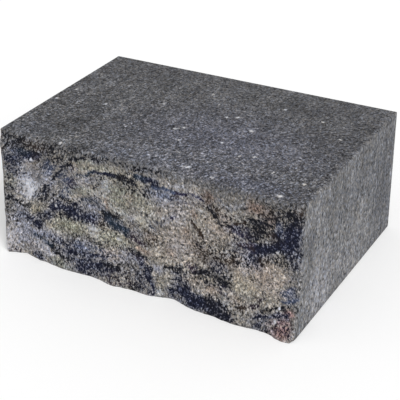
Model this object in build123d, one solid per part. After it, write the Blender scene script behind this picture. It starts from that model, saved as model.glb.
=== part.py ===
from build123d import *
import math
import os
from dataclasses import dataclass

# Solid concrete wall block with one split face, lying on its bed.
# Millimetres. X runs along the wall, Y from the split face back into the wall, Z up.
# The origin is the centre of the bed: halfway along the block, halfway between the
# back and the nominal split line, at the height of the bed.

# Driving dimensions of the moulded block
block_length = 381.0       # along the wall, end to end
block_depth = 254.0        # back face to the nominal split line
course_height = 152.4      # bed to top, one course of the wall
arris_radius = 2.0         # easing that the mould leaves on its own arrises

# Split face: how far it stands in front of the nominal split line at its four corners
top_left_stand = -4.5
top_right_stand = 1.4
bed_left_stand = 0.5
bed_right_stand = 2.8

# Toe: the flare where the face runs out to the bed, strongest at the right end
toe_left_stand = 4.5
toe_right_stand = 19.0
toe_reach = 31.0           # height over which the flare dies away
toe_curve = 1.15           # 1 is a plain exponential flare, more is rounder at the bed

# Finer unevenness of the break: waves that cross the face at many angles
wave_count = 12
longest_wave = 78.0
shortest_wave = 24.0
wave_steepness = 0.010     # height of a wave over its length
wave_turn = 137.5          # degrees between one wave's direction and the next

# Grid of the split surface, and how far it runs past the block before it is trimmed
split_pitch = 7.0
split_overrun = 14.0


@dataclass
class Swell:
    """A smooth swelling of the split face, or a hollow where stand is negative."""
    along: float           # middle of the swell, from the middle of the block
    up: float              # middle of the swell, above the bed
    stand: float           # how far it stands out
    reach_along: float     # distance along the face over which it fades
    reach_up: float        # distance up the face over which it fades

    def height_at(self, x, z):
        fade_along = (x - self.along) / self.reach_along
        fade_up = (z - self.up) / self.reach_up
        return self.stand * math.exp(-fade_along ** 2 - fade_up ** 2)


@dataclass
class Wave:
    """One straight train of waves across the split face."""
    length: float
    heading: float         # radians from the X direction
    phase: float

    def height_at(self, x, z):
        travel = x * math.cos(self.heading) + z * math.sin(self.heading)
        return self.length * wave_steepness * math.sin(2 * math.pi * travel / self.length + self.phase)


left_end = -block_length / 2
right_end = block_length / 2

# Middle of the hollow and the swell that lie one above the other near the right end
right_rise = left_end + 338

# The broken face, read from left to right
left_cheek = Swell(along=left_end, up=55, stand=2.5, reach_along=30, reach_up=40)
left_foot = Swell(along=left_end, up=0, stand=5.0, reach_along=17, reach_up=16)
left_scallop = Swell(along=left_end + 42, up=96, stand=-4.0, reach_along=20, reach_up=30)
left_toe = Swell(along=left_end + 76, up=0, stand=2.6, reach_along=27, reach_up=34)
olive_swell = Swell(along=left_end + 92, up=56, stand=3.5, reach_along=36, reach_up=16)
arch_hollow = Swell(along=left_end + 108, up=84, stand=-4.0, reach_along=52, reach_up=13)
vein_ridge = Swell(along=left_end + 118, up=122, stand=4.0, reach_along=48, reach_up=17)
middle_toe = Swell(along=left_end + 150, up=0, stand=3.2, reach_along=46, reach_up=26)
middle_swell = Swell(along=left_end + 205, up=84, stand=4.5, reach_along=42, reach_up=32)
bed_spall = Swell(along=left_end + 226, up=0, stand=-5.4, reach_along=19, reach_up=22)
streak_hollow = Swell(along=left_end + 264, up=56, stand=-4.5, reach_along=24, reach_up=12)
bed_scallop = Swell(along=left_end + 268, up=0, stand=-2.6, reach_along=14, reach_up=18)
shelf_swell = Swell(along=left_end + 290, up=132, stand=3.0, reach_along=55, reach_up=16)
right_toe = Swell(along=right_rise - 20, up=0, stand=2.2, reach_along=14, reach_up=18)
right_hollow = Swell(along=right_rise, up=100, stand=-4.0, reach_along=32, reach_up=16)
right_swell = Swell(along=right_rise, up=62, stand=4.0, reach_along=28, reach_up=22)
toe_dip = Swell(along=right_end - 30, up=0, stand=-2.6, reach_along=12, reach_up=14)

swells = [
    left_cheek,
    left_foot,
    left_scallop,
    left_toe,
    olive_swell,
    arch_hollow,
    vein_ridge,
    middle_toe,
    middle_swell,
    bed_spall,
    streak_hollow,
    bed_scallop,
    shelf_swell,
    right_toe,
    right_hollow,
    right_swell,
    toe_dip,
]


def make_waves():
    """Waves from the longest to the shortest, each turned on from the one before."""
    shrink = (shortest_wave / longest_wave) ** (1 / (wave_count - 1))
    turn = math.radians(wave_turn)
    return [
        Wave(length=longest_wave * shrink ** number, heading=number * turn, phase=number ** 2)
        for number in range(wave_count)
    ]


waves = make_waves()


def between(low, high, share):
    return low + (high - low) * share


def stand_of_plain_face(x, z):
    """Stand of the face before its swells: four corners, and the toe along the bed."""
    share_along = (x - left_end) / block_length
    share_up = z / course_height
    bed_stand = between(bed_left_stand, bed_right_stand, share_along)
    top_stand = between(top_left_stand, top_right_stand, share_along)
    toe_stand = between(toe_left_stand, toe_right_stand, share_along)
    toe_fade = math.exp(-(max(z, 0.0) / toe_reach) ** toe_curve)
    return between(bed_stand, top_stand, share_up) + toe_stand * toe_fade


def split_point(x, z):
    stand = stand_of_plain_face(x, z)
    for form in swells + waves:
        stand += form.height_at(x, z)
    return (x, -block_depth / 2 - stand, z)


def evenly(low, high):
    """Places from low to high, about one grid pitch apart."""
    steps = math.ceil((high - low) / split_pitch)
    return [between(low, high, step / steps) for step in range(steps + 1)]


def make_split_surface():
    """One smooth surface through the broken face, a little larger than the block."""
    columns = evenly(left_end - split_overrun, right_end + split_overrun)
    rows = evenly(-split_overrun, course_height + split_overrun)
    grid = [[split_point(x, z) for z in rows] for x in columns]
    return Face.make_surface_from_array_of_points(grid)


def make_moulded_body(front):
    """The straight block as it leaves the mould, still whole out to the given front."""
    back = block_depth / 2
    body = Pos(0, back, 0) * Box(
        block_length,
        back - front,
        course_height,
        align=(Align.CENTER, Align.MAX, Align.MIN),
    )
    back_face = body.faces().sort_by(Axis.Y)[-1]
    moulded_arrises = body.edges().filter_by(Axis.Y) + back_face.edges()
    return fillet(moulded_arrises, arris_radius)


def make_wall_block():
    """The moulded body, parted along the split surface."""
    split_surface = make_split_surface()
    front = split_surface.bounding_box().min.Y - split_overrun
    moulded_body = make_moulded_body(front)
    kept_side = extrude(split_surface, amount=block_depth - front, dir=(0, 1, 0))
    return moulded_body & kept_side


os.makedirs("parts", exist_ok=True)
wall_block = make_wall_block()
export_step(wall_block, "parts/wall_block.step")
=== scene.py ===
import math
from dataclasses import dataclass

import bpy
import numpy as np
from mathutils import Matrix, Vector
from mathutils.bvhtree import BVHTree


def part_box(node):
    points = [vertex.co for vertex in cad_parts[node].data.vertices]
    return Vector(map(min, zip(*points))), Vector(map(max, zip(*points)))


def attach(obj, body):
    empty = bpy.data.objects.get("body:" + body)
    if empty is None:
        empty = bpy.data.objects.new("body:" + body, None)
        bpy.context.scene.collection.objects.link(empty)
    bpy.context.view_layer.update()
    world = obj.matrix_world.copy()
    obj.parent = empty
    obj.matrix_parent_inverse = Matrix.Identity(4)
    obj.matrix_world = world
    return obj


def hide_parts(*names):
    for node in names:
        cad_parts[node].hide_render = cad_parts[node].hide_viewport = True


# The finish of a split-face concrete wall block: its broken face with the marbled blend
# of pigments, its moulded top, ends, back and bed, and the view of it.
# Places on the block are in millimetres in the frame's axes: along is X, deep is Y and up is Z.
# Meshes are in metres, as the frame is.

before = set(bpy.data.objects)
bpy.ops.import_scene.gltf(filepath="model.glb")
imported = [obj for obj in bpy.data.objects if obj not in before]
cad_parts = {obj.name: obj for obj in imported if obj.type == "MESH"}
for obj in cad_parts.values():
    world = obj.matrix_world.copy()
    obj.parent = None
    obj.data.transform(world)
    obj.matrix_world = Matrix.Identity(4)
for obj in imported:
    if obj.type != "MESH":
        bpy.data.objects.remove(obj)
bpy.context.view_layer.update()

MM = 0.001
node_low, node_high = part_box("wall_block")
left_end = node_low.x / MM
right_end = node_high.x / MM
back = node_high.y / MM
front_reach = node_low.y / MM
top = node_high.z / MM

# Spacing of the skin's vertices before it is thinned
skin_pitch_along = 1.1
skin_pitch_up = 1.1
skin_pitch_deep = 2.0
triangle_budget = 196000

# How readily each side gives up vertices: the split face none, the sides out of view the most
kept_side_weight = 0.12
hidden_side_weight = 1.0
kept_skin = 6                  # how far behind the split surface every vertex is kept
seen_margin = 3                # how near the top or the right end counts as seen

# Spacing of the charts of the split face, of the plain sides and of the solid's front
split_pitch = 0.5
plain_pitch = 1.0
cad_pitch = 2.0

# Arrises: the mould's own are eased evenly, those of the split face are crumbled
mould_radius = 2.0
crumbled_top_radius = 3.2
crumbled_bed_radius = 1.1
crumbled_left_radius = 1.0
crumbled_right_radius = 2.6
crumbled_spread = 0.45         # how much a crumbled radius varies, as a share of itself
MOULD_ARRISES = [
    ("left", "top"),
    ("left", "bed"),
    ("right", "top"),
    ("right", "bed"),
    ("back", "top"),
    ("back", "bed"),
    ("back", "left"),
    ("back", "right"),
]

# Chip at the foot of the left end: how far the end is broken in, and how far the chip reaches
chip_inset = 4.8
chip_reach_along = 26
chip_reach_deep = 14
chip_reach_up = 15

# Relief: how deep behind the split surface it dies away, how much deeper the stained grains lie,
# those of the painted ledge shade among them, and the share of it that is left at an edge, which grows by 1
# over the margin's width
relief_reach = 5.0
stain_depth = 0.55
relief_at_left = 0.15
relief_at_right = 0.35
relief_at_bed = 0.45
relief_margin = 20

# Tints between which single grains vary
cool_tint = (0.93, 0.99, 1.10)
warm_tint = (1.07, 1.01, 0.92)

# Where on the split face the grain leans to the right: left of a line and above a height
lean_line = -100
lean_height = 44
lean_blend = 20

# How strongly the grains of a side differ, as a power of two for one spread
grit_of_side = {"split": 0.92, "bed": 0.80, "left": 0.60, "right": 0.60, "back": 0.60}

# Share of the grains that is stained away from every mark, and the most anywhere
stray_cover = 0.02
most_cover = 0.94

# How far the paste between the stained grains has taken on their pigment, and how far and how
# wide the ground round them is hazed
steeped_share = 0.80
haze_share = 0.55
haze_reach = 2

# Pigments that steep the paste blue, where the others steep it grey
COLD_STAINS = ("navy", "teal", "indigo", "slate")

# The grit of the split face calms from a height upwards, to a share of itself at the top
calm_height = 85
calm_at_top = 0.80

# How far the colours of the moulded top, with its painted shade, and of the right end reach onto the split
# face
top_fringe = 8.0
right_fringe = 5.0

# Grit of the top grows from the back towards the split face
top_grit_at_back = 0.73
top_grit_at_front = 1.18

# How much of its grit the palest ground loses, from what brightness and over what span
calm_of_pale = 0.85
pale_from = 0.24
pale_span = 0.20

# How softly the colours of two sides meet, and how thick those of the split face are
side_blend = 2.0
split_skin = 1.0

# Staining and shading of the grains
last_swing = 1.3               # grains are stained in the order of their swing, from minus this to this
stain_softness = 0.18
drag_size = 3.0                # streaks that the mould drew up the ends and the back
drag_squeeze = 0.12
drag_strength = 0.3
bump_strength = 0.7
bump_height = 1.2
gloss = 0.12

# Camera, fitted to the outline of the block in the photograph
camera_azimuth = 29.60
camera_elevation = 30.35
camera_roll = -0.94
camera_place = (576.9, -1017.9, 693.4)
camera_lens = 101.53
camera_shift_up = 0.075

# Studio
WHITE = (1, 1, 1, 1)
floor_half = 6.0               # metres
floor_grey = 0.86
floor_glow = 0.16
light_all_round = 0.62


def srgb(red, green, blue):
    """A colour given on the 0 to 255 scale, as linear light."""
    shares = np.array([red, green, blue], float) / 255
    return np.where(shares <= 0.04045, shares / 12.92, ((shares + 0.055) / 1.055) ** 2.4)


# Pigments and aggregates of the blend, and the greys of its moulded faces
PAINTS = {
    "tan": srgb(140, 135, 128),
    "khaki": srgb(124, 125, 112),
    "olive": srgb(133, 133, 120),
    "buff": srgb(146, 135, 126),
    "straw": srgb(146, 140, 120),
    "ash": srgb(104, 103, 104),
    "chalk": srgb(190, 191, 197),
    "quartz": srgb(228, 228, 230),
    "lilac": srgb(138, 139, 149),
    "pink": srgb(150, 145, 146),
    "rust": srgb(132, 110, 98),
    "rose": srgb(140, 108, 104),
    "umber": srgb(56, 47, 42),
    "soot_and_ledge_shade": srgb(26, 27, 34),
    "navy": srgb(28, 31, 48),
    "teal": srgb(38, 49, 62),
    "indigo": srgb(46, 43, 62),
    "slate": srgb(70, 78, 98),
    "plum": srgb(50, 40, 54),
    "smoke": srgb(118, 122, 136),
    "haze": srgb(123, 122, 122),
    "iron": srgb(78, 77, 80),
    # Grey of the moulded top and bed, darker than the ends': partly the concrete's own, partly painted
    # shade
    "moulded": srgb(91, 91, 93),
    "violet": srgb(97, 98, 107),
    "dust": srgb(116, 116, 118),
    # Grey of the moulded ends and back, lighter than the top's: partly the concrete's own, partly painted
    # light
    "moulded_end": srgb(110, 110, 111),
    "end_pale": srgb(141, 141, 145),
    "end_dark": srgb(92, 93, 97),
}


@dataclass
class GrainLay:
    """How the grains of a surface lie: their sizes in millimetres, their stretch and their lean."""
    fine: float
    coarse: float
    stretch_deep: float
    stretch_up: float
    lean: float            # degrees from upright, plus is to the right


# Each lay is weighted over the block by the attribute of its name
GRAIN_LAYS = {
    "moulded_grain": GrainLay(fine=1.5, coarse=2.5, stretch_deep=1.25, stretch_up=2.0, lean=-14),
    "left_grain": GrainLay(fine=1.2, coarse=2.1, stretch_deep=1.25, stretch_up=1.5, lean=-12),
    "right_grain": GrainLay(fine=1.2, coarse=2.1, stretch_deep=1.25, stretch_up=1.6, lean=34),
}


@dataclass
class Vein:
    """A streak of pigment along a line of points (along, up)."""
    paint: str
    line: list
    half: float
    strength: float = 1.0

    def cover(self, across, up):
        return self.strength * fading(distance_to_line(self.line, across, up) / self.half)


@dataclass
class Patch:
    """A cloud of colour, an ellipse that fades outwards."""
    paint: str
    along: float
    up: float
    reach_along: float
    reach_up: float
    strength: float = 1.0
    turn: float = 0.0      # degrees, plus is anticlockwise

    def cover(self, across, up):
        turn = math.radians(self.turn)
        out_along = across - self.along
        out_up = up - self.up
        first = (out_along * math.cos(turn) + out_up * math.sin(turn)) / self.reach_along
        second = (out_up * math.cos(turn) - out_along * math.sin(turn)) / self.reach_up
        return self.strength * fading(np.hypot(first, second))


def fading(distance):
    """1 well inside a mark's reach, a half at it, and 0 from twice the reach outwards."""
    share = np.clip(1 - distance / 2, 0, 1)
    return share * share * (3 - 2 * share)


def distance_to_line(line, across, up):
    nearest = np.full(across.shape, 1e9)
    for (x0, z0), (x1, z1) in zip(line[:-1], line[1:]):
        dx, dz = x1 - x0, z1 - z0
        share = np.clip(((across - x0) * dx + (up - z0) * dz) / (dx * dx + dz * dz), 0, 1)
        nearest = np.minimum(nearest, np.hypot(across - x0 - share * dx, up - z0 - share * dz))
    return nearest


# Colour of the ground of the split face, where each mark lies over those before it
GROUND = [
    Patch("ash", -110, 148, 80, 8, 0.9),
    Patch("ash", -20, 147, 60, 5, 0.6),
    Patch("ash", -184, 80, 8, 45, 0.7),
    Patch("ash", 112, 134, 26, 16, 0.8),
    Patch("ash", 182, 70, 10, 30, 0.9),
    Patch("lilac", -130, 136, 8, 5, 0.6),
    Patch("buff", -146, 112, 6, 12, 0.7),
    Patch("lilac", -158, 92, 15, 25, 0.9, -10),
    Patch("chalk", -154, 85, 10, 12, 0.8),
    Patch("chalk", -165, 98, 9, 16, 0.1, -20),
    Patch("lilac", -130, 106, 10, 14, 0.7, 30),
    Patch("ash", -144, 106, 8, 7, 0.5),
    Patch("khaki", -182, 90, 8, 8, 0.7),
    Patch("khaki", -68, 138, 24, 5, 0.6, 4),
    Patch("buff", -88, 134, 6, 4, 0.5),
    Patch("lilac", -72, 118, 14, 5, 0.7, 10),
    Patch("buff", -64, 104, 24, 7, 0.5),
    Patch("pink", -60, 98, 24, 10, 0.6),
    Patch("lilac", -48, 116, 7, 9, 0.7),
    Patch("chalk", -45, 115, 7, 7, 0.9),
    Patch("ash", 0, 119, 60, 6, 0.25),
    Patch("chalk", -70, 105, 15, 4, 0.42),
    Patch("chalk", -20, 91, 36, 7, 0.34),
    Vein("chalk", [(-50, 121), (-45, 119), (-41, 110)], 1.5, 0.9),
    Vein("chalk", [(-44, 125), (-44, 112)], 1.2, 0.8),
    Vein("chalk", [(-133, 131), (-129, 139)], 1.3, 0.7),
    Vein("lilac", [(-160, 38), (-150, 35), (-138, 31)], 2.0, 0.8),
    Vein("chalk", [(-160, 30), (-150, 23), (-138, 21), (-124, 18)], 1.6, 0.7),
    Vein("chalk", [(-86, 21), (-74, 23), (-62, 27)], 1.3, 0.5),
    Vein("chalk", [(-24, 38), (-12, 34), (-2, 33)], 1.6, 0.5),
    Vein("chalk", [(20, 11), (24, 3)], 3.0, 0.5),
    Patch("khaki", -22, 108, 26, 20, 0.9),
    Patch("khaki", -80, 102, 16, 6, 0.7, 15),
    Patch("rust", -45, 92, 3, 6, 0.8),
    Patch("buff", -16, 105, 5, 15, 0.5),
    Patch("pink", -4, 95, 8, 7, 0.6),
    Patch("umber", -16, 96, 3, 4, 0.25),
    Patch("lilac", -14, 84, 6, 5, 0.5),
    Patch("straw", -142, 65, 11, 7, 0.6, 30),
    Patch("smoke", -166, 50, 12, 10, 0.8),
    Patch("lilac", -166, 26, 14, 14, 0.95),
    Patch("pink", -186, 16, 7, 20, 0.9),
    Patch("chalk", -187, 14, 6, 18, 0.35),
    Patch("lilac", -138, 15, 14, 6, 0.8, -10),
    Patch("pink", -150, 14, 12, 6, 0.6),
    Patch("khaki", -112, 5, 14, 5, 0.9),
    Patch("olive", -98, 54, 20, 9, 1, 5),
    Patch("olive", -42, 55, 24, 10, 0.7),
    Patch("smoke", -76, 33, 18, 9, 0.7),
    Patch("chalk", -64, 57, 6, 9, 0.5),
    Patch("lilac", -66, 72, 7, 10, 0.6),
    Patch("rust", -52, 73, 5, 4, 0.35),
    Patch("umber", -8, 51, 9, 4, 0.2),
    Patch("rust", -3, 50, 3, 2.5, 0.5),
    Patch("buff", -43, 32, 13, 6, 0.9),
    Patch("lilac", -16, 34, 12, 4, 0.7, -5),
    Patch("lilac", 24, 123, 18, 6, 0.9),
    Patch("slate", 24, 125, 14, 4, 0.5),
    Patch("pink", 62, 124, 18, 5, 0.6, 3),
    Patch("pink", 44, 113, 15, 6, 0.7),
    Patch("pink", 44, 98, 16, 6, 0.4, 20),
    Patch("rust", 57, 87, 5, 5, 0.6),
    Patch("rust", 36, 57, 6, 6, 0.5),
    Patch("rust", 64, 109, 5, 4, 0.6),
    Patch("rust", 22, 106, 4, 3, 0.4),
    Patch("rust", 10, 73, 8, 4, 0.4, 20),
    Patch("rust", 6, 49, 6, 4, 0.5),
    Patch("buff", 50, 69, 24, 17, 0.7),
    Patch("pink", 48, 69, 15, 12, 0.35),
    Patch("chalk", 50, 67, 14, 11, 0.3),
    Patch("buff", 92, 98, 12, 12, 0.8),
    Patch("chalk", 84, 94, 6, 6, 0.3),
    Vein("chalk", [(96, 69), (104, 76), (110, 82)], 3.0, 0.5),
    Patch("ash", 105, 23, 8, 6, 0.7),
    Patch("rust", 88, 28, 7, 6, 0.45),
    Patch("buff", 66, 31, 9, 6, 0.5),
    Patch("lilac", 21, 34, 7, 5, 0.8),
    Patch("khaki", 26, 12, 7, 14, 0.4),
    Patch("rust", 84, 136, 7, 6, 0.8),
    Patch("rust", 139, 137, 10, 10, 0.95),
    Patch("rust", 152, 126, 7, 8, 0.8),
    Patch("lilac", 124, 76, 6, 6, 0.9),
    Patch("buff", 142, 60, 28, 18, 1, -8),
    Patch("chalk", 150, 56, 16, 14, 0.14),
    Patch("pink", 125, 62, 6, 7, 0.6),
    Patch("straw", 128, 40, 14, 14, 0.45),
    Patch("chalk", 129, 31, 9, 9, 0.26),
    Patch("straw", 154, 36, 9, 3, 0.3, 20),
    Patch("rose", 174, 9, 11, 9),
    Patch("rose", 180, 25, 6, 5, 0.7),
    Patch("ash", 132, 4, 18, 5, 0.7),
    Patch("lilac", 158, 17, 14, 5, 0.5, 15),
    # Cooler ground along the foot and round the veins, warmer ground in the right half
    Patch("lilac", -132, 31, 22, 9, 0.85, -8),
    Patch("lilac", -144, 27, 14, 7, 0.4),
    Patch("lilac", -172, 44, 12, 5, 0.6),
    Patch("lilac", -98, 15, 20, 5, 0.8),
    Patch("lilac", -130, 4, 10, 4, 0.7),
    Patch("lilac", -125, 84, 8, 8, 0.6),
    Patch("lilac", -68, 81, 16, 9, 0.9),
    Patch("lilac", -5, 70, 7, 7, 0.5),
    Patch("smoke", -172, 131, 12, 11, 0.8),
    Patch("lilac", 42, 137, 26, 5, 0.4),
    Patch("smoke", 42, 125, 22, 4, 0.35),
    Patch("smoke", -142, 29, 14, 7, 0.4),
    Patch("rust", 146, 70, 9, 9, 0.12),
    Patch("lilac", 20, 115, 10, 5, 0.4),
    Patch("lilac", 38, 102, 16, 9, 0.3),
    Patch("lilac", 52, 8, 22, 7, 0.6),
    Patch("lilac", -20, 24, 22, 7, 0.6),
    Patch("lilac", 127, 75, 6, 6, 0.6),
    Patch("buff", 96, 112, 12, 14, 0.6),
    Patch("buff", 186, 130, 6, 12, 0.5),
    Patch("buff", 148, 68, 12, 9, 0.8),
    Patch("buff", 66, 68, 14, 18, 0.7),
    Patch("buff", 120, 27, 10, 6, 0.6),
    Patch("buff", 94, 27, 6, 6, 0.4),
    Patch("ash", -18, 104, 22, 16, 0.18),
    Patch("ash", 70, 143, 50, 6, 0.2),
    Patch("chalk", -180, 94, 6, 5, 0.16),
    Patch("chalk", -187, 5, 4, 5, 0.3),
    Patch("chalk", -36, 6, 5, 4, 0.2),
    Patch("chalk", -100, 5, 6, 4, 0.25),
    Patch("chalk", -14, 15, 5, 5, 0.2),
    Patch("chalk", 164, 6, 5, 5, 0.1),
    Patch("straw", 0, 90, 8, 10, 0.5),
    Patch("quartz", 0, 95, 10, 6, 0.17),
    Patch("chalk", 107, 16, 5, 4, 0.4),
    Patch("chalk", -25, 86, 14, 5, 0.15),
    Patch("soot_and_ledge_shade", 92, 6, 12, 6, 0.9),
    Patch("soot_and_ledge_shade", -72, 11, 14, 7, 0.15),
]
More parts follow.
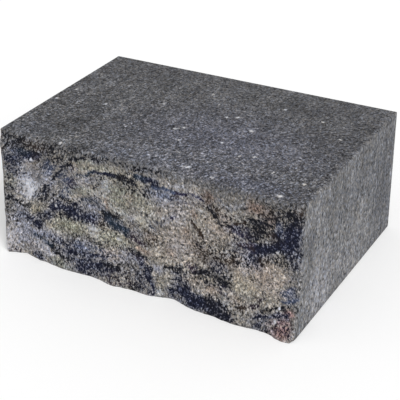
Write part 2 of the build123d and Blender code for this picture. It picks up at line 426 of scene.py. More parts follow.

# Dark pigment on the split face, and painted shade along fine cracks and in hollows under small ledges:
# strength is the share of its grains that are dark
STAINS_AND_LEDGE_SHADE = [
    # Round the pale lens, and the dark corner above it
    Patch("soot_and_ledge_shade", -170, 142, 24, 11, 0.47),
    Patch("umber", -138, 142, 16, 8, 0.5),
    Patch("soot_and_ledge_shade", -146, 134, 9, 7, 0.45),
    Patch("soot_and_ledge_shade", -183, 146, 11, 5, 0.56),
    Patch("navy", -171, 109, 9, 9, 0.55, 30),
    Patch("navy", -179, 105, 8, 5, 0.68),
    Patch("soot_and_ledge_shade", -187, 124, 6, 7, 0.52),
    Vein("navy", [(-186, 117), (-176, 120), (-164, 123), (-150, 127), (-140, 127)], 5.5, 0.72),
    Patch("teal", -157, 129, 11, 5, 0.6, 10),
    Patch("umber", -142, 126, 7, 7, 0.42),
    Patch("soot_and_ledge_shade", -128, 130, 12, 9, 0.52, 40),
    Patch("soot_and_ledge_shade", -112, 134, 15, 8, 0.35),
    Patch("soot_and_ledge_shade", -114, 145, 26, 6, 0.48, 10),
    Patch("slate", -125, 119, 8, 12, 0.36, 20),
    Patch("slate", -105, 110, 8, 17, 0.46),
    Patch("slate", -105, 92, 8, 6, 0.25),
    Patch("soot_and_ledge_shade", -184, 82, 8, 18, 0.38),
    Patch("soot_and_ledge_shade", -130, 87, 12, 6, 0.62, 10),
    Vein("navy", [(-146, 77), (-138, 84), (-130, 92), (-123, 100)], 4.5, 0.45),
    Vein("soot_and_ledge_shade", [(-190, 66), (-176, 65), (-160, 63), (-152, 64)], 2.0, 0.56),
    Patch("soot_and_ledge_shade", -176, 76, 6, 5, 0.25),
    Patch("soot_and_ledge_shade", -136, 77, 6, 5, 0.55, 30),
    Patch("soot_and_ledge_shade", -184, 54, 8, 12, 0.3),
    Patch("navy", -163, 54, 10, 7, 0.3),
    Patch("navy", -168, 43, 9, 6, 0.16),
    Patch("soot_and_ledge_shade", -146, 56, 5, 4, 0.2),
    Vein("navy", [(-158, 52), (-150, 47), (-142, 42)], 3.2, 0.68),
    Vein("soot_and_ledge_shade", [(-190, 35), (-180, 39), (-170, 41)], 1.2, 0.6),
    # The blobs over the olive swell
    Patch("soot_and_ledge_shade", -141, 64, 7, 4, 0.2, 30),
    Vein("navy", [(-145, 47), (-138, 54), (-130, 61), (-123, 68), (-112, 74), (-98, 75)], 6.0, 0.74),
    Patch("soot_and_ledge_shade", -100, 83, 13, 4, 0.34),
    Patch("soot_and_ledge_shade", -109, 66, 11, 5, 0.54),
    Patch("navy", -90, 74, 8, 7, 0.74),
    Patch("navy", -77, 69, 10, 7, 0.76),
    Patch("navy", -66, 74, 7, 6, 0.45),
    Patch("indigo", -67, 66, 7, 4, 0.45),
    Patch("soot_and_ledge_shade", -48, 65, 12, 5, 0.18),
    Patch("umber", -54, 67, 7, 4, 0.24),
    Vein("teal", [(-80, 87), (-74, 91), (-67, 94), (-60, 93), (-54, 88)], 4.2, 0.48),
    Patch("slate", -72, 88, 12, 6, 0.22, 20),
    Vein("soot_and_ledge_shade", [(-54, 80), (-46, 81), (-38, 82), (-31, 83)], 2.7, 0.88),
    Patch("soot_and_ledge_shade", -50, 77, 8, 4, 0.55),
    Vein("teal", [(-48, 79), (-38, 74), (-29, 71), (-21, 67)], 5.4, 0.78),
    Patch("plum", -9, 63, 11, 8, 0.56),
    Patch("plum", -10, 79, 7, 3, 0.35, 20),
    Patch("soot_and_ledge_shade", -56, 45, 24, 5, 0.34),
    Patch("slate", -70, 34, 30, 4, 0.28),
    Patch("soot_and_ledge_shade", -94, 45, 14, 4, 0.3),
    Patch("umber", -44, 55, 6, 5, 0.2),
    Patch("navy", -128, 35, 18, 5, 0.14),
    # The dark band that runs along the foot of the left half
    Vein("teal", [(-148, 29), (-142, 28), (-134, 25), (-124, 22)], 1.5, 0.85),
    Patch("navy", -112, 26, 17, 6, 0.27, -8),
    Patch("navy", -95, 26, 7, 5, 0.3),
    Patch("navy", -92, 27, 18, 8, 0.54),
    Vein("navy", [(-150, 5), (-144, 7), (-136, 6)], 3.2, 0.56),
    Patch("plum", -153, 15, 8, 4, 0.34),
    Vein("soot_and_ledge_shade", [(-123, 20), (-115, 15), (-107, 12), (-98, 12)], 1.9, 0.84),
    Patch("soot_and_ledge_shade", -114, 4, 6, 4, 0.34),
    Patch("navy", -66, 26, 14, 6, 0.54),
    Patch("navy", -70, 13, 20, 10, 0.8),
    Patch("navy", -79, 6, 9, 7, 0.7),
    Patch("navy", -50, 16, 17, 5, 0.6, 5),
    Patch("plum", -28, 9, 22, 9, 0.36),
    Patch("soot_and_ledge_shade", -26, 13, 9, 6, 0.62),
    Vein("soot_and_ledge_shade", [(-50, 18), (-36, 21), (-26, 25), (-14, 26), (-4, 22)], 2.4, 0.7),
    Vein("soot_and_ledge_shade", [(-18, 44), (-12, 43), (-3, 42), (4, 40)], 2.6, 0.66),
    Patch("indigo", -12, 37, 14, 7, 0.5, -10),
    Patch("soot_and_ledge_shade", -14, 30, 18, 5, 0.22),
    Vein("navy", [(0, 31), (8, 27), (14, 21), (16, 13), (15, 3)], 3.8, 0.82),
    Patch("navy", 12, 26, 4, 4, 0.6),
    Patch("navy", 2, 13, 8, 10, 0.5),
    Patch("soot_and_ledge_shade", -6, 4, 6, 6, 0.8),
    # The arched veins along the top
    # Painted shade under a small ledge
    Vein("soot_and_ledge_shade", [(-122, 103), (-114, 112), (-107, 120), (-103, 126), (-97, 131), (-91, 132)], 1.7, 0.85),
    Patch("indigo", -90, 125, 9, 5, 0.42),
    Vein("soot_and_ledge_shade", [(-98, 134), (-90, 140), (-80, 143), (-68, 146), (-54, 148)], 1.6, 0.82),
    Patch("soot_and_ledge_shade", -70, 150, 30, 4, 0.35),
    Patch("soot_and_ledge_shade", -8, 147, 26, 5, 0.6),
    Patch("soot_and_ledge_shade", -57, 123, 9, 5, 0.4),
    Vein("teal", [(-84, 121), (-78, 124), (-70, 127), (-60, 130.5)], 1.5, 0.8),
    Vein("navy", [(-60, 130.5), (-48, 131), (-36, 132)], 1.8, 0.85),
    Vein("soot_and_ledge_shade", [(-38, 132), (-25, 131.5), (-10, 130.5)], 2.6, 0.92),
    Patch("soot_and_ledge_shade", -24, 125, 32, 5, 0.42),
    Patch("soot_and_ledge_shade", -22, 117, 14, 5, 0.14),
    Patch("soot_and_ledge_shade", -58, 119, 5, 7, 0.18),
    Patch("slate", -100, 117, 8, 7, 0.26),
    Patch("soot_and_ledge_shade", -130, 146, 12, 6, 0.24),
    Patch("soot_and_ledge_shade", -12, 137, 9, 4, 0.34),
    Vein("soot_and_ledge_shade", [(-64, 111), (-60, 116), (-54, 119)], 1.5, 0.75),
    Patch("soot_and_ledge_shade", -52, 107, 3, 2, 0.5),
    Patch("indigo", -91, 107, 7, 8, 0.42, 20),
    Vein("teal", [(-6, 138), (4, 137)], 3.0, 0.85),
    Vein("navy", [(2, 137), (11, 135), (18, 134)], 3.2, 0.86),
    Vein("slate", [(12, 130), (28, 131), (42, 132)], 1.3, 0.85),
    Vein("indigo", [(42, 132), (54, 132), (68, 132), (74, 131.5)], 1.8, 0.8),
    Patch("soot_and_ledge_shade", 5, 120, 7, 5, 0.35),
    Vein("navy", [(33, 121), (39, 122)], 1.0, 0.8),
    Vein("plum", [(44, 121), (56, 121), (66, 123), (76, 125)], 1.1, 0.65),
    Patch("slate", 26, 124, 14, 4, 0.14),
    Patch("plum", 46, 125, 8, 4, 0.26),
    Patch("soot_and_ledge_shade", 8, 115, 12, 4, 0.2),
    Patch("umber", 80, 135, 9, 5, 0.32),
    Patch("umber", 86, 122, 8, 7, 0.36, -30),
    Patch("umber", 97, 125, 6, 6, 0.34),
    # Painted shade in a fine crack under a small ledge
    Vein("soot_and_ledge_shade", [(84, 124.5), (87, 121.5), (90, 118)], 3.2, 0.96),
    # The tan middle
    Patch("umber", 46, 106, 6, 5, 0.2),
    Patch("umber", 77, 106, 6, 6, 0.22),
    Patch("umber", 106, 102, 7, 13, 0.24),
    Patch("indigo", 39, 103, 5, 3, 0.7, 35),
    Patch("slate", 20, 87, 12, 6, 0.3, 30),
    # Painted shade in a fine crack under a small ledge
    Vein("umber", [(60, 99.5), (66, 96), (71, 93), (74, 88)], 2.4, 0.98),
    Patch("umber", 65, 84, 6, 6, 0.46),
    Patch("soot_and_ledge_shade", 74, 77, 8, 4, 0.52),
    Patch("umber", 71, 65, 12, 6, 0.55),
    Patch("umber", 68, 56, 10, 5, 0.48),
    Patch("soot_and_ledge_shade", 87, 72, 11, 12, 0.2),
    Patch("umber", 8, 69, 11, 9, 0.42),
    Vein("soot_and_ledge_shade", [(30, 40), (38, 41), (48, 41)], 2.2, 0.7),
    Patch("soot_and_ledge_shade", 47, 40, 8, 6, 0.3),
    Patch("plum", 61, 44, 6, 3.2, 0.5, -20),
    # Painted shade in the hollow beneath a ledge, in this vein and the next
    Vein("soot_and_ledge_shade", [(64, 42), (70, 41), (77, 43)], 2.8, 0.98),
    Vein("soot_and_ledge_shade", [(75, 45), (86, 46), (96, 44), (106, 42)], 3.4, 0.75),
    Patch("soot_and_ledge_shade", 105, 45, 8, 7, 0.8),
    Patch("indigo", 104, 34, 8, 8, 0.34),
    Patch("soot_and_ledge_shade", 78, 35, 26, 4, 0.3),
    Patch("navy", 92, 54, 12, 7, 0.45),
    Patch("umber", 101, 66, 11, 6, 0.42),
    Patch("soot_and_ledge_shade", 113, 75, 12, 6, 0.2),
    # The navy wedge at the foot, right of the middle
    Patch("navy", 48, 30, 9, 7, 0.5),
    Patch("navy", 49, 15, 13, 9, 0.82),
    Vein("navy", [(56, 13), (70, 8), (90, 8), (108, 3)], 8.0, 0.82),
    Patch("navy", 65, 4, 8, 6, 0.76),
    Patch("soot_and_ledge_shade", 89, 12, 11, 7, 0.92, -15),
    Patch("soot_and_ledge_shade", 96, 4, 16, 8, 0.96),
    Patch("navy", 37, 4, 6, 6, 0.68),
    Patch("soot_and_ledge_shade", 26, 15, 5, 6, 0.24),
    Patch("teal", 74, 17, 4, 9, 0.4, 20),
    Patch("soot_and_ledge_shade", 117, 15, 10, 6, 0.5),
    # The dark upper right
    # Painted shade in a fine crack under a small ledge
    Vein("soot_and_ledge_shade", [(93, 111), (98, 109), (105, 107), (111, 105)], 2.0, 0.9),
    Vein("umber", [(112, 111), (117, 113), (123, 115)], 1.6, 0.8),
    Patch("soot_and_ledge_shade", 105, 115, 6, 4, 0.34),
    Patch("soot_and_ledge_shade", 139, 119, 13, 8, 0.74),
    Patch("soot_and_ledge_shade", 150, 126, 9, 5, 0.38),
    Patch("soot_and_ledge_shade", 133, 105, 11, 8, 0.6),
    Vein("soot_and_ledge_shade", [(127, 103), (137, 105)], 3.5, 0.6),
    Vein("soot_and_ledge_shade", [(143, 121), (153, 121)], 1.8, 0.85),
    Patch("indigo", 118, 104, 13, 6, 0.68),
    Patch("soot_and_ledge_shade", 140, 97, 14, 10, 0.16, 15),
    Patch("umber", 158, 106, 8, 8, 0.4),
    Patch("soot_and_ledge_shade", 160, 115, 7, 5, 0.2),
    Patch("navy", 187, 104, 5, 18, 0.25),
    Patch("soot_and_ledge_shade", 111, 88, 9, 6, 0.16),
    Patch("soot_and_ledge_shade", 94, 88, 8, 6, 0.26),
    Patch("indigo", 122, 88, 13, 8, 0.6),
    Vein("umber", [(114, 90), (124, 90), (134, 88)], 1.8, 0.6),
    Patch("navy", 134, 75, 9, 7, 0.9),
    Patch("umber", 134, 56, 6, 5, 0.22),
    Patch("umber", 176, 57, 6, 5, 0.14),
    Patch("umber", 145, 79, 8, 4.5, 0.62, 20),
    Patch("soot_and_ledge_shade", 119, 68, 8, 7, 0.24),
    Patch("soot_and_ledge_shade", 171, 135, 17, 11, 0.68),
    Patch("umber", 146, 136, 13, 6, 0.46),
    Patch("soot_and_ledge_shade", 162, 146, 18, 6, 0.3),
    Patch("umber", 186, 146, 7, 6, 0.46),
    Patch("navy", 182, 112, 10, 23, 0.7),
    Vein("navy", [(178, 118), (172, 108), (162, 98), (150, 92), (140, 87)], 7.0, 0.62),
    Patch("navy", 169, 105, 12, 13, 0.75, 20),
    Patch("navy", 176, 96, 8, 6, 0.4),
    Patch("slate", 164, 123, 4, 7, 0.5),
    Patch("soot_and_ledge_shade", 163, 84, 15, 7, 0.46),
    Patch("slate", 178, 48, 8, 10, 0.4),
    Patch("soot_and_ledge_shade", 187, 54, 5, 16, 0.18),
    # The arcs in the lower right corner
    Patch("plum", 140, 27, 9, 5, 0.36, 25),
    Patch("plum", 146, 36, 5, 4, 0.42),
    Vein("soot_and_ledge_shade", [(148, 21), (155, 24), (162, 27), (171, 30), (176, 33)], 1.8, 0.96),
    Vein("navy", [(141, 14), (152, 16), (165, 19), (178, 23)], 2.8, 0.72),
    Patch("navy", 149, 8, 12, 8, 0.62, 10),
    Patch("soot_and_ledge_shade", 154, 3, 6, 4, 0.7),
    Patch("plum", 175, 26, 5, 4, 0.2),
    Patch("umber", 136, 25, 5, 4, 0.2),
    Patch("umber", 147, 34, 5, 4, 0.2),
    Patch("soot_and_ledge_shade", 126, 3, 16, 5, 0.3),
    Patch("plum", -174, 4, 6, 5, 0.3),
    Patch("umber", 127, 19, 4, 4, 0.9, 45),
    Vein("slate", [(172, 40), (181, 42), (190, 44)], 1.5, 0.65),
    Patch("plum", 178, 13, 12, 8, 0.32),
]

# Single light and dark grains that stand out on the split face: (along, up, radius)
LIGHT_GRAINS = [
    (-149, 123, 1.7),
    (-117, 74, 1.6),
    (-33, 54, 2.0),
    (31, 120, 1.5),
    (161, 91, 1.3),
    (167, 15.5, 1.9),
    (169.5, 31, 1.2),
]
DARK_GRAINS = [
    (8, 97, 1.8),
    (52, 72.5, 1.6),
    (124, 133.5, 1.6),
    (-33, 58, 1.2),
    (100, 33, 1.3),
    (26, 49, 1.4),
    (46, 75, 1.3),
    (2, 98, 1.2),
    (8, 110, 1.1),
    (12, 60, 1.2),
    (30, 96, 1.1),
    (54, 59, 1.4),
    (68, 113, 1.2),
]

# Marks on the moulded top, with places (along, deep)
TOP_MARKS = [
    Patch("violet", 50, -45, 95, 65),
    Patch("moulded_end", 60, -85, 100, 32, 0.25),
    Vein("dust", [(-100, -118), (-99, -40), (-101, 28)], 5, 0.4),
    Vein("dust", [(-66, 38), (-64, 80)], 5, 0.35),
    Vein("dust", [(-152, -46), (-152, -4)], 1.6, 0.7),
    Vein("dust", [(-12, -32), (-9, -28), (-8, -21)], 1.4, 0.8),
    Vein("dust", [(-28, -80), (-26, -70)], 1.6, 0.6),
    Vein("dust", [(-30, -107), (-21, -107)], 2.2, 0.8),
    Vein("soot_and_ledge_shade", [(-116, -49), (-100, -58)], 2.2, 0.35),
    Patch("soot_and_ledge_shade", 92, 80, 18, 22, 0.14),
    Patch("soot_and_ledge_shade", 140, 95, 50, 25, 0.16),
    Patch("smoke", 156, -48, 16, 18, 0.08),
    Patch("soot_and_ledge_shade", 174, 0, 18, 40, 0.17),
    Patch("soot_and_ledge_shade", 170, 46, 16, 20, 0.16),
    Patch("soot_and_ledge_shade", 92, 21, 26, 22, 0.09),
    Patch("soot_and_ledge_shade", 159, -107, 12, 10, 0.26),
    Patch("dust", 25, -122, 16, 4, 0.5),
    Patch("dust", -118, -112, 30, 14, 0.45),
    Patch("smoke", -25, -112, 45, 15, 0.26),
    Patch("smoke", -158, -103, 20, 16, 0.22),
    Patch("violet", 115, -112, 60, 16, 0.8),
    Patch("smoke", 127, -110, 16, 10, 0.38),
    Patch("smoke", 32, -100, 22, 9, 0.14),
]

# Single pale grains on the moulded top: (along, deep, radius)
TOP_GRAINS = [
    (159, -119, 2.3),
    (65, 3, 1.9),
    (46, -106, 1.9),
    (40, -107, 1.3),
    (-6, -24, 1.4),
    (-14, -31, 1.5),
    (5, -54, 1.3),
    (20, -80, 1.3),
    (79, -115, 1.3),
    (82, -59, 1.2),
    (-60, 22, 1.3),
    (-107, -119, 1.4),
    (131, -77, 1.2),
    (161, 28, 1.3),
    (50, -38, 1.2),
    (35, 28, 1.5),
    (24, 22, 1.3),
    (-21, 73, 1.6),
    (126, 61, 1.5),
    (74, 72, 1.4),
    (97, -53, 1.5),
    (-107, -121, 1.6),
    (-176, 10, 1.6),
    (-120, -10, 1.3),
    (-182, -22, 1.4),
    (170, -85, 1.6),
]

# Marks on the moulded right end, with places (deep, up)
RIGHT_END_MARKS = [
    Patch("end_pale", -82, 34, 28, 30, 0.8),
    Patch("end_pale", -95, 110, 18, 40, 0.2),
    Patch("end_pale", -5, 28, 40, 22, 0.3),
    Patch("end_dark", 15, 112, 60, 34, 0.55),
    Patch("end_dark", 98, 76, 38, 80, 0.85),
    Patch("end_dark", 118, 35, 12, 16, 0.5),
    Patch("navy", -109, 105, 9, 8, 0.35),
    Vein("end_pale", [(-45, 78), (-44, 94)], 2.0, 0.7),
    Vein("end_pale", [(-28, 18), (-27, 36)], 2.0, 0.7),
    Vein("end_pale", [(30, 66), (30, 84)], 1.8, 0.7),
    Vein("end_pale", [(120, 68), (119, 82)], 1.8, 0.7),
    Vein("end_pale", [(-65, 134), (-64, 146)], 2.0, 0.6),
]


class Chart:
    """A regular grid of values over one face, first axis and second axis in millimetres."""

    def __init__(self, low_first, high_first, low_second, high_second, pitch):
        self.low = (low_first, low_second)
        self.pitch = pitch
        first = np.arange(low_first, high_first + pitch, pitch)
        second = np.arange(low_second, high_second + pitch, pitch)
        self.first, self.second = np.meshgrid(first, second, indexing="ij")
        self.shape = self.first.shape

    def read(self, field, first, second):
        """The field's value between its grid points."""
        at_first = np.clip((first - self.low[0]) / self.pitch, 0, self.shape[0] - 1.001)
        at_second = np.clip((second - self.low[1]) / self.pitch, 0, self.shape[1] - 1.001)
        i = at_first.astype(int)
        j = at_second.astype(int)
        share_i = at_first - i
        share_j = at_second - j
        if field.ndim == 3:
            share_i = share_i[..., None]
            share_j = share_j[..., None]
        low = field[i, j] * (1 - share_j) + field[i, j + 1] * share_j
        high = field[i + 1, j] * (1 - share_j) + field[i + 1, j + 1] * share_j
        return low * (1 - share_i) + high * share_i

    def cells_at(self, first, second):
        """Numbers of the grid cells that the places lie in."""
        i = ((first - self.low[0]) / self.pitch).astype(int)
        j = ((second - self.low[1]) / self.pitch).astype(int)
        return np.clip(i, 0, self.shape[0] - 1), np.clip(j, 0, self.shape[1] - 1)

    def soften(self, field, reach_first, reach_second):
        """A Gaussian blur, with the reaches in millimetres."""
        along = np.fft.fftfreq(self.shape[0], self.pitch)[:, None]
        across = np.fft.rfftfreq(self.shape[1], self.pitch)[None, :]
        keep = np.exp(-2 * math.pi ** 2 * ((reach_first * along) ** 2 + (reach_second * across) ** 2))
        return np.fft.irfft2(np.fft.rfft2(field) * keep, s=self.shape)

    def noise(self, seed, reach_first, reach_second=None):
        """Smooth random unevenness with a spread of 1."""
        white = np.random.default_rng(seed).standard_normal(self.shape)
        field = self.soften(white, reach_first, reach_second or reach_first)
        return field / field.std()


split_chart = Chart(left_end, right_end, 0, top, split_pitch)


def read_cad_front():
    """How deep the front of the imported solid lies, over a coarse chart of the split face."""
    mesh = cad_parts["wall_block"].data
    corners = [vertex.co.copy() for vertex in mesh.vertices]
    tree = BVHTree.FromPolygons(corners, [tuple(face.vertices) for face in mesh.polygons])
    coarse = Chart(left_end, right_end, 0, top, cad_pitch)
    depths = np.zeros(coarse.shape)
    inset = 0.05
    run_up = 20
    usual_depth = 15
    for spot in np.ndindex(*coarse.shape):
        along = min(max(coarse.first[spot], left_end + inset), right_end - inset)
        up = min(max(coarse.second[spot], inset), top - inset)
        start = Vector((along, front_reach - run_up, up)) * MM
        place = tree.ray_cast(start, Vector((0, 1, 0)))[0]
        if place is None or place.y > 0:
            place = tree.find_nearest(Vector((along, front_reach + usual_depth, up)) * MM)[0]
        depths[spot] = place.y / MM
    return coarse.read(depths, split_chart.first, split_chart.second)


front_depth = read_cad_front()


def warped_places(chart, seed):
    """The chart's places, pushed about so that marks drawn on them get natural edges."""
    first = chart.first + 0.9 * chart.noise(seed, 6) + 0.8 * chart.noise(seed + 1, 1.6)
    second = chart.second + 0.8 * chart.noise(seed + 2, 6) + 0.8 * chart.noise(seed + 3, 1.6)
    return first, second


def make_flow():
    """Unit directions along which the pigments were drawn out: along the veins, else level. The veins of
    painted ledge shade steer them too.
    """
    level_pull = (0.12, 0.02)
    vein_reach = 11
    softness = 3
    wander = 0.25
    double_cos = np.full(split_chart.shape, level_pull[0])
    double_sin = np.full(split_chart.shape, level_pull[1])
    for mark in STAINS_AND_LEDGE_SHADE:
        if isinstance(mark, Patch):
            continue
        for start, end in zip(mark.line[:-1], mark.line[1:]):
            heading = 2 * math.atan2(end[1] - start[1], end[0] - start[0])
            distance = distance_to_line([start, end], split_chart.first, split_chart.second)
            weight = np.exp(-(distance / vein_reach) ** 2)
            double_cos += weight * math.cos(heading)
            double_sin += weight * math.sin(heading)
    double_sin = split_chart.soften(double_sin, softness, softness)
    double_cos = split_chart.soften(double_cos, softness, softness)
    heading = 0.5 * np.arctan2(double_sin, double_cos)
    heading += wander * split_chart.noise(31, 5)
    return np.cos(heading), np.sin(heading)


def drawn_out(field, flow, steps):
    """The field averaged along the flow, which turns grain into streaks."""
    total = field.copy()
    for sense in (1, -1):
        first = split_chart.first.copy()
        second = split_chart.second.copy()
        for _ in range(steps):
            cells = split_chart.cells_at(first, second)
            total += field[cells]
            first += sense * split_chart.pitch * flow[0][cells]
            second += sense * split_chart.pitch * flow[1][cells]
    total -= total.mean()
    return total / total.std()


def mixed(ground, paint, cover):
    """The ground with another colour laid over it, by name or point by point."""
    colour = PAINTS[paint] if isinstance(paint, str) else paint
    return ground + (colour - ground) * np.asarray(cover)[..., None]


def grain_cover(chart, grains):
    """Where the single grains of a list lie on the chart."""
    cover = np.zeros(chart.shape)
    for first, second, radius in grains:
        distance = np.hypot(chart.first - first, chart.second - second)
        cover = np.maximum(cover, np.clip(1.6 - distance / radius, 0, 1))
    return cover


def blend_stains_and_ledge_shade(across, up):
    """Colour of the dark pigment and of the painted ledge shade, the share of the grains that carry it, and
    how cold it is.
    """
    bare = np.ones(split_chart.shape)
    stain = np.zeros(split_chart.shape + (3,))
    weight = np.full(split_chart.shape, 1e-6)
    cold = np.zeros(split_chart.shape)
    for mark in STAINS_AND_LEDGE_SHADE:
        cover = np.clip(mark.cover(across, up), 0, 1)
        bare *= 1 - cover
        stain += PAINTS[mark.paint] * (cover ** 2)[..., None]
        weight += cover ** 2
        if mark.paint in COLD_STAINS:
            cold += cover ** 2
    stain = stain / weight[..., None]
    unmarked = np.clip(1 - weight / 0.02, 0, 1)
    return mixed(stain, "soot_and_ledge_shade", unmarked), 1 - bare, cold / weight


def paint_split_face():
    """Ground colour, stain colour and cover of the stain over the split face; the stain holds the painted
    ledge shade too.
    """
    across, up = warped_places(split_chart, 11)
    flow = make_flow()
    streaks = drawn_out(split_chart.noise(21, 0.55), flow, 9)
    long_streaks = drawn_out(split_chart.noise(22, 1.1), flow, 22)
    strands = drawn_out(split_chart.noise(24, 1.8), flow, 30)
    clouds = split_chart.noise(23, 7)
    ground = np.broadcast_to(PAINTS["tan"], split_chart.shape + (3,)).copy()
    for mark in GROUND:
        cover = mark.cover(across, up)
        ground = mixed(ground, mark.paint, np.clip(cover * (1 + 0.35 * long_streaks), 0, 1))
    ground = mixed(ground, "chalk", np.clip(0.16 * (long_streaks + 0.4 * clouds - 1.2), 0, 0.6))
    # The top's grey, with its painted shade, reaches down onto the split face
    ground = mixed(ground, "moulded", 0.9 * fading((top - up) / top_fringe))
    ground = mixed(ground, "ash", 0.8 * fading((right_end - across) / right_fringe))
    stain, cover, coldness = blend_stains_and_ledge_shade(across, up)
    haze = mixed(PAINTS["haze"], "smoke", coldness)
    steeped = mixed(stain, mixed(PAINTS["iron"], "slate", coldness), 0.5)
    hazed = np.clip(split_chart.soften(cover, haze_reach, haze_reach), 0, 1)
    ground = mixed(ground, haze, haze_share * hazed)
    patchiness = 0.30 * strands + 0.28 * long_streaks + 0.18 * streaks
    cover = stray_cover + cover + (0.05 + 1.4 * cover * (1 - cover)) * patchiness
    cover = np.clip(cover, 0, most_cover)
    ground = mixed(ground, steeped, steeped_share * cover)
    ground = ground * (1 + 0.04 * streaks + 0.05 * long_streaks + 0.06 * strands + 0.04 * clouds)[..., None]
    light_grains = grain_cover(split_chart, LIGHT_GRAINS)
    dark_grains = grain_cover(split_chart, DARK_GRAINS)
    ground = mixed(ground, "chalk", light_grains)
    ground = mixed(ground, "soot_and_ledge_shade", dark_grains)
    return ground, stain, cover * (1 - light_grains), long_streaks


split_ground, split_stain_and_ledge_shade, split_cover, long_streaks = paint_split_face()


def make_relief():
    """How far the broken skin lies in from the smooth surface of the solid."""
    relief = 0.38 * split_chart.noise(41, 7)
    relief += 0.34 * np.abs(split_chart.noise(42, 4.2)) - 0.15
    relief += 0.28 * split_chart.noise(43, 2.1)
    relief += 0.24 * split_chart.noise(44, 1.1)
    relief += 0.12 * long_streaks
    relief += stain_depth * split_cover
    for share, distance in (
        (relief_at_left, split_chart.first - left_end),
        (relief_at_right, right_end - split_chart.first),
        (relief_at_bed, split_chart.second),
    ):
        relief = relief * np.clip(share + distance / relief_margin, 0, 1)
    return relief


split_relief = make_relief()


def counted(low, high, pitch):
    return max(1, round((high - low) / pitch))


def sides_of_lattice(steps):
    """Each side as its axis, its end of that axis and the points of the lattice on it."""
    for axis in range(3):
        for end in (0, steps[axis]):
            picked = [slice(None)] * 3
            picked[axis] = end
            yield axis, end, tuple(picked)


def make_skin_lattice():
    """Places on the skin of a box as shares along, deep and up, and its quads."""
    split_line = -back
    steps = (
        counted(left_end, right_end, skin_pitch_along),
        counted(split_line, back, skin_pitch_deep),
        counted(0, top, skin_pitch_up),
    )
    ids = np.full([n + 1 for n in steps], -1, np.int32)
    on_skin = np.zeros(ids.shape, bool)
    for _, _, picked in sides_of_lattice(steps):
        on_skin[picked] = True
    ids[on_skin] = np.arange(on_skin.sum())
    places = np.argwhere(on_skin)
    quads = []
    for axis, end, picked in sides_of_lattice(steps):
        side = ids[picked]
        corners = [side[:-1, :-1], side[1:, :-1], side[1:, 1:], side[:-1, 1:]]
        quad = np.stack(corners, -1).reshape(-1, 4)
        faces_inward = (end == 0) != (axis == 1)
        quads.append(quad[:, ::-1] if faces_inward else quad)
    return places / np.array(steps), np.concatenate(quads)


def eased(first, second, radius):
    """Two distances in from two faces that meet in an arris, with the arris rounded."""
    out_first = np.maximum(radius - first, 0)
    out_second = np.maximum(radius - second, 0)
    length = np.hypot(out_first, out_second)
    shrink = np.where(length > radius, radius / np.maximum(length, 1e-9), 1)
    inside = (out_first > 0) & (out_second > 0)
    return (
        np.where(inside, radius - out_first * shrink, first),
        np.where(inside, radius - out_second * shrink, second),
    )


def crumbling(places, low, high, seed):
    """How much more or less than usual an arris has crumbled, along its length."""
    noise = Chart(low, high, 0, 8, 1.0).noise(seed, 3)[:, 0]
    uneven = np.interp(places, np.linspace(low, high, len(noise)), noise)
    return 1 + crumbled_spread * np.clip(uneven, -1.5, 2.5)


def make_block_shape():
    """The whole skin in millimetres: eased arrises, then the broken relief and the chip."""
    shares, quads = make_skin_lattice()
    along = left_end + (right_end - left_end) * shares[:, 0]
    up = top * shares[:, 2]
    smooth_front = split_chart.read(front_depth, along, up)
    depth = (back - smooth_front) * shares[:, 1]
    inward = {
        "left": along - left_end,
        "right": right_end - along,
        "bed": up,
        "top": top - up,
        "back": back - smooth_front - depth,
    }
    crumbled_along = crumbling(along, left_end, right_end, 51)
    crumbled_up = crumbling(up, 0, top, 52)
    crumbled_radii = {
        "top": crumbled_top_radius * crumbled_along,
        "bed": crumbled_bed_radius * crumbled_along,
        "left": crumbled_left_radius * crumbled_up,
        "right": crumbled_right_radius * crumbled_up,
    }
    for first, second in MOULD_ARRISES:
        inward[first], inward[second] = eased(inward[first], inward[second], mould_radius)
    for side, radius in crumbled_radii.items():
        depth, inward[side] = eased(depth, inward[side], radius)
    along = np.where(along < 0, left_end + inward["left"], right_end - inward["right"])
    up = np.where(up < top / 2, inward["bed"], top - inward["top"])
    deep = np.where(shares[:, 1] < 0.5, smooth_front + depth, back - inward["back"])
    nearness = np.clip(1 - depth / relief_reach, 0, 1)
    deep = deep + nearness * split_chart.read(split_relief, along, up)
    along = along + chip_of_left_end(along, depth, up)
    return np.stack([along, np.maximum(deep, front_reach), up], -1), quads


def chip_of_left_end(along, depth, up):
    """How far the chip at the foot of the left end shifts the skin inwards."""
    share = np.clip(1 - (along - left_end) / chip_reach_along, 0, 1)
    return chip_inset * share * np.exp(-(depth / chip_reach_deep) ** 2 - (up / chip_reach_up) ** 2)


def add_object(name, data):
    thing = bpy.data.objects.new(name, data)
    bpy.context.scene.collection.objects.link(thing)
    return thing


def make_block_mesh():
    """The dense skin, thinned to the triangle budget, mostly away from the split face."""
    places, quads = make_block_shape()
    mesh = bpy.data.meshes.new("dense_skin")
    mesh.from_pydata((places * MM).tolist(), [], quads.tolist())
    dense = add_object("dense_skin", mesh)
    along, deep, up = places.T
    plain = deep - split_chart.read(front_depth, along, up) > kept_skin
    seen = (up > top - seen_margin) | (along > right_end - seen_margin)
    group = dense.vertex_groups.new(name="plain_sides")
    group.add(np.nonzero(plain & seen)[0].tolist(), kept_side_weight, "REPLACE")
    group.add(np.nonzero(plain & ~seen)[0].tolist(), hidden_side_weight, "REPLACE")
    thinning = dense.modifiers.new("thinning", "DECIMATE")
    thinning.ratio = triangle_budget / (2 * len(quads))
    thinning.vertex_group = "plain_sides"
    thinning.use_collapse_triangulate = True
    graph = bpy.context.evaluated_depsgraph_get()
    thinned = bpy.data.meshes.new_from_object(dense.evaluated_get(graph))
    bpy.data.objects.remove(dense)
    return thinned


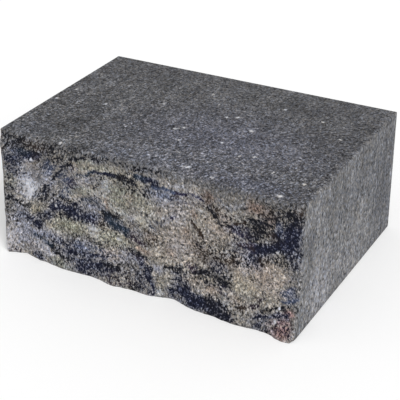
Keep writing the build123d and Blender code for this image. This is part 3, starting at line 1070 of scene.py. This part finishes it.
def vertex_places(mesh):
    places = np.zeros(len(mesh.vertices) * 3, np.float32)
    mesh.vertices.foreach_get("co", places)
    return places.reshape(-1, 3).astype(float) / MM


def paint_moulded_top(along, deep):
    """The top and the bed: slow clouds, and streaks from the mould along the depth."""
    chart = Chart(left_end, right_end, front_reach, back, plain_pitch)
    # The base grey holds painted shade, on the top and on the bed alike
    colour = np.broadcast_to(PAINTS["moulded"], chart.shape + (3,)).copy()
    across, inward = warped_places(chart, 64)
    for mark in TOP_MARKS:
        colour = mixed(colour, mark.paint, mark.cover(across, inward))
    tone = 1 + 0.07 * chart.noise(61, 9) + 0.05 * chart.noise(62, 3) + 0.06 * chart.noise(63, 2.2, 22)
    colour = mixed(colour * tone[..., None], "quartz", 0.8 * grain_cover(chart, TOP_GRAINS))
    return chart.read(colour, along, deep)


def paint_moulded_end(deep, up, seed, marks=()):
    """An end or the back: slow clouds, and streaks that the mould drew upwards."""
    chart = Chart(front_reach, back, 0, top, plain_pitch)
    # The base grey holds painted light, on both ends and the back alike
    colour = np.broadcast_to(PAINTS["moulded_end"], chart.shape + (3,)).copy()
    inward, rising = warped_places(chart, seed + 2)
    for mark in marks:
        colour = mixed(colour, mark.paint, mark.cover(inward, rising))
    tone = 1 + 0.05 * chart.noise(seed, 9, 20) + 0.06 * chart.noise(seed + 1, 2.2, 12)
    return chart.read(colour * tone[..., None], deep, up)


def set_float(mesh, name, values):
    layer = mesh.attributes.new(name, "FLOAT", "POINT")
    layer.data.foreach_set("value", values.astype(np.float32))


def set_colour(mesh, name, values):
    layer = mesh.color_attributes.new(name, "FLOAT_COLOR", "POINT")
    rgba = np.concatenate([values, np.ones((len(values), 1))], 1)
    layer.data.foreach_set("color", rgba.astype(np.float32).ravel())


def paint_block(mesh):
    places = vertex_places(mesh)
    along, deep, up = places.T
    depth = deep - split_chart.read(front_depth, along, up)
    distances = {
        "split": np.maximum(depth - split_skin, 0),
        "top": top - up,
        "bed": up,
        "left": along - left_end,
        "right": right_end - along,
        "back": back - deep,
    }
    weights = {name: np.exp(-distance / side_blend) for name, distance in distances.items()}
    total = sum(weights.values())
    shares = {name: weight / total for name, weight in weights.items()}
    squeeze = 0.6              # fits the length of the back onto the chart of an end
    moulded = {
        "top": paint_moulded_top(along, deep),
        "bed": paint_moulded_top(-along, deep),
        "left": paint_moulded_end(deep, up, 71),
        "right": paint_moulded_end(deep, up, 81, RIGHT_END_MARKS),
        "back": paint_moulded_end(along * squeeze, up, 91),
    }
    ground = split_chart.read(split_ground, along, up) * shares["split"][:, None]
    for name, colour in moulded.items():
        ground += colour * shares[name][:, None]
    set_colour(mesh, "ground", ground)
    # The stain colour holds the dark pigment and the painted ledge shade
    set_colour(mesh, "stain", split_chart.read(split_stain_and_ledge_shade, along, up))
    set_float(mesh, "cover", split_chart.read(split_cover, along, up) * shares["split"])
    nearness = (back - deep) / (back - front_reach)
    grit_of_top = top_grit_at_back + (top_grit_at_front - top_grit_at_back) * nearness
    grit = grit_of_top * shares["top"] + sum(grit_of_side[name] * shares[name] for name in grit_of_side)
    height_share = np.clip((up - calm_height) / (top - calm_height), 0, 1)
    calm = 1 - (1 - calm_at_top) * height_share * shares["split"]
    paleness = np.clip((ground.mean(1) - pale_from) / pale_span, 0, 1)
    set_float(mesh, "grit", grit * calm * (1 - calm_of_pale * paleness))
    set_float(mesh, "drag", shares["left"] + shares["right"] + shares["back"])
    for name, weight in weigh_grains(along, up, shares["split"]).items():
        set_float(mesh, name, weight)


def weigh_grains(along, up, split_share):
    """Weight of each lay of grains, so that their sum keeps the spread of one lay."""
    left_of_line = np.clip(0.5 + (lean_line - along) / lean_blend, 0, 1)
    above_height = np.clip(0.5 + (up - lean_height) / lean_blend, 0, 1)
    rightward = left_of_line * above_height
    weights = {
        "moulded_grain": 1 - split_share,
        "left_grain": split_share * (1 - rightward),
        "right_grain": split_share * rightward,
    }
    spread = np.sqrt(sum(weight ** 2 for weight in weights.values()))
    return {name: weight / spread for name, weight in weights.items()}


class Nodes:
    """Short calls for adding the nodes of one material or world."""

    def __init__(self, owner):
        owner.use_nodes = True
        self.tree = owner.node_tree
        self.tree.nodes.clear()

    def add(self, kind, inputs=None, **settings):
        node = self.tree.nodes.new(kind)
        for key, value in settings.items():
            setattr(node, key, value)
        for key, value in (inputs or {}).items():
            self.put(node.inputs[key], value)
        return node

    def put(self, socket, value):
        if isinstance(value, bpy.types.NodeSocket):
            self.tree.links.new(value, socket)
        else:
            socket.default_value = value

    def math(self, operation, first, second=0.0, third=0.0, clamp=False):
        node = self.add("ShaderNodeMath", operation=operation, use_clamp=clamp)
        for socket, value in zip(node.inputs, (first, second, third)):
            self.put(socket, value)
        return node.outputs[0]

    def attribute(self, name, output="Fac"):
        return self.add("ShaderNodeAttribute", attribute_name=name).outputs[output]

    def noise(self, where, size_mm, detail=2.0, roughness=0.6):
        inputs = {"Vector": where, "Scale": 1 / (size_mm * MM), "Detail": detail, "Roughness": roughness}
        return self.add("ShaderNodeTexNoise", inputs).outputs["Fac"]

    def ramp(self, value, low, high, to_low=0.0, to_high=1.0):
        inputs = {"Value": value, "From Min": low, "From Max": high, "To Min": to_low, "To Max": to_high}
        return self.add("ShaderNodeMapRange", inputs).outputs["Result"]

    def mix(self, factor, first, second, blend="MIX"):
        node = self.add("ShaderNodeMix", data_type="RGBA", blend_type=blend)
        self.put(node.inputs["Factor"], factor)
        self.put(node.inputs[6], first)
        self.put(node.inputs[7], second)
        return node.outputs[2]

    def scaled(self, colour, factor):
        return self.add("ShaderNodeVectorMath", {0: colour, "Scale": factor}, operation="SCALE").outputs[0]


def grains(n, where, size_mm):
    """Grain of one size: its swing about 0, its height about 0, and a random tint about 0."""
    height = n.math("SUBTRACT", n.noise(where, size_mm), 0.5)
    cells = n.add("ShaderNodeTexVoronoi", {"Vector": where, "Scale": 1 / (size_mm * MM)})
    chances = n.add("ShaderNodeSeparateColor", {0: cells.outputs["Color"]})
    slow = n.ramp(height, -0.25, 0.25, -1.8, 1.8)
    sudden = n.ramp(chances.outputs[0], 0, 1, -1.1, 1.1)
    tint = n.math("SUBTRACT", chances.outputs[1], 0.5)
    return n.math("ADD", slow, sudden), height, tint


def laid_grains(n, where, lay):
    """Fine and coarse grains of one lay together: swing with a spread near 1, height and tint."""
    turn = {"Vector": where, "Rotation": (0, math.radians(lay.lean), 0)}
    turn["Scale"] = (1, lay.stretch_deep, lay.stretch_up)
    lying = n.add("ShaderNodeMapping", turn, vector_type="TEXTURE").outputs[0]
    fine_swing, fine_height, tint = grains(n, lying, lay.fine)
    coarse_swing, coarse_height, _ = grains(n, lying, lay.coarse)
    swing = n.math("MULTIPLY", n.math("ADD", fine_swing, coarse_swing), 0.6)
    height = n.math("ADD", n.math("MULTIPLY", coarse_height, 0.6), n.math("MULTIPLY", fine_height, 0.4))
    return swing, height, tint


def all_grains(n, where):
    """Swing, height and tint of the grains, with each lay weighted by its attribute."""
    totals = [0.0, 0.0, 0.0]
    for name, lay in GRAIN_LAYS.items():
        weight = n.attribute(name)
        values = laid_grains(n, where, lay)
        totals = [n.math("MULTIPLY_ADD", value, weight, total) for value, total in zip(values, totals)]
    return totals


def make_concrete():
    concrete = bpy.data.materials.new("blended_concrete")
    n = Nodes(concrete)
    where = n.add("ShaderNodeTexCoord").outputs["Object"]
    swing, height, tint = all_grains(n, where)
    over = n.math("SUBTRACT", n.attribute("cover"), n.ramp(swing, -last_swing, last_swing))
    cover = n.ramp(over, -stain_softness, stain_softness)
    # The stained grains take on the dark pigment and the painted ledge shade
    colour = n.mix(cover, n.attribute("ground", "Color"), n.attribute("stain", "Color"))
    tinted = n.mix(n.ramp(tint, -0.5, 0.5), (*cool_tint, 1), (*warm_tint, 1))
    colour = n.mix(1.0, colour, tinted, "MULTIPLY")
    dragged = n.add("ShaderNodeMapping", {"Vector": where, "Scale": (1, 1, drag_squeeze)}).outputs[0]
    streak = n.ramp(n.noise(dragged, drag_size, detail=3.0), 0.3, 0.7, -1, 1)
    streak = n.math("MULTIPLY", streak, n.math("MULTIPLY", n.attribute("drag"), drag_strength))
    grit = n.attribute("grit")
    evened = n.math("MULTIPLY_ADD", n.math("MULTIPLY", grit, grit), -0.33, 0.17)
    power = n.math("ADD", n.math("MULTIPLY_ADD", swing, grit, evened), streak)
    bump = {"Height": height, "Strength": bump_strength, "Distance": bump_height * MM}
    surface = {
        "Base Color": n.scaled(colour, n.math("POWER", 2.0, power)),
        "Roughness": n.ramp(height, -0.2, 0.2, 0.82, 0.98),
        "Normal": n.add("ShaderNodeBump", bump).outputs[0],
        "Specular IOR Level": gloss,
    }
    shader = n.add("ShaderNodeBsdfPrincipled", surface)
    n.add("ShaderNodeOutputMaterial", {"Surface": shader.outputs[0]})
    return concrete


def make_block():
    mesh = make_block_mesh()
    mesh.name = "split_face_block"
    paint_block(mesh)
    mesh.materials.clear()
    mesh.materials.append(make_concrete())
    mesh.polygons.foreach_set("use_smooth", np.ones(len(mesh.polygons), bool))
    return add_object("split_face_block", mesh)


block = make_block()
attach(block, "root")
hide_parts("wall_block")


def make_floor():
    material = bpy.data.materials.new("pale_floor")
    n = Nodes(material)
    paint = n.add("ShaderNodeBsdfDiffuse", {"Color": (floor_grey, floor_grey, floor_grey, 1)}).outputs[0]
    path = n.add("ShaderNodeLightPath")
    seen = n.math("ADD", path.outputs["Is Camera Ray"], path.outputs["Is Glossy Ray"], clamp=True)
    strength = n.math("MULTIPLY", seen, floor_glow)
    glow = n.add("ShaderNodeEmission", {"Color": WHITE, "Strength": strength}).outputs[0]
    both = n.add("ShaderNodeAddShader", {0: paint, 1: glow}).outputs[0]
    n.add("ShaderNodeOutputMaterial", {"Surface": both})
    corners = [(x * floor_half, y * floor_half, 0) for x, y in ((-1, -1), (1, -1), (1, 1), (-1, 1))]
    mesh = bpy.data.meshes.new("floor")
    mesh.from_pydata(corners, [], [(0, 1, 2, 3)])
    mesh.materials.append(material)
    return add_object("floor", mesh)


make_floor()


def make_world():
    """A soft light from all round, in front of a white backdrop."""
    world = bpy.data.worlds.new("studio")
    n = Nodes(world)
    path = n.add("ShaderNodeLightPath")
    light = n.add("ShaderNodeBackground", {"Color": WHITE, "Strength": light_all_round})
    backdrop = n.add("ShaderNodeBackground", {"Color": WHITE})
    either = n.add("ShaderNodeMixShader", {"Fac": path.outputs["Is Camera Ray"]})
    n.put(either.inputs[1], light.outputs[0])
    n.put(either.inputs[2], backdrop.outputs[0])
    n.add("ShaderNodeOutputWorld", {"Surface": either.outputs[0]})
    bpy.context.scene.world = world


def facing(azimuth, elevation):
    """The direction that points from the block towards a place seen at these angles."""
    turn, rise = math.radians(azimuth), math.radians(elevation)
    return Vector((math.sin(turn) * math.cos(rise), -math.cos(turn) * math.cos(rise), math.sin(rise)))


def make_sun(name, azimuth, elevation, strength, spread):
    lamp = bpy.data.lights.new(name, "SUN")
    lamp.energy = strength
    lamp.angle = math.radians(spread)
    sun = add_object(name, lamp)
    sun.rotation_euler = facing(azimuth, elevation).to_track_quat("Z", "Y").to_euler()


make_world()
make_sun("key_light", azimuth=55, elevation=40, strength=1.9, spread=30)


def make_camera():
    data = bpy.data.cameras.new("camera")
    data.sensor_width = 36
    data.lens = camera_lens
    data.shift_y = camera_shift_up
    data.clip_end = 50
    camera = add_object("camera", data)
    backward = facing(camera_azimuth, camera_elevation)
    right = (-backward).cross(Vector((0, 0, 1))).normalized()
    upward = right.cross(-backward)
    turn = Matrix((right, upward, backward)).transposed()
    camera.matrix_world = (
        Matrix.Translation(Vector(camera_place) * MM)
        @ turn.to_4x4()
        @ Matrix.Rotation(math.radians(camera_roll), 4, "Z")
    )
    bpy.context.scene.camera = camera


make_camera()
bpy.context.scene.view_settings.view_transform = "Standard"
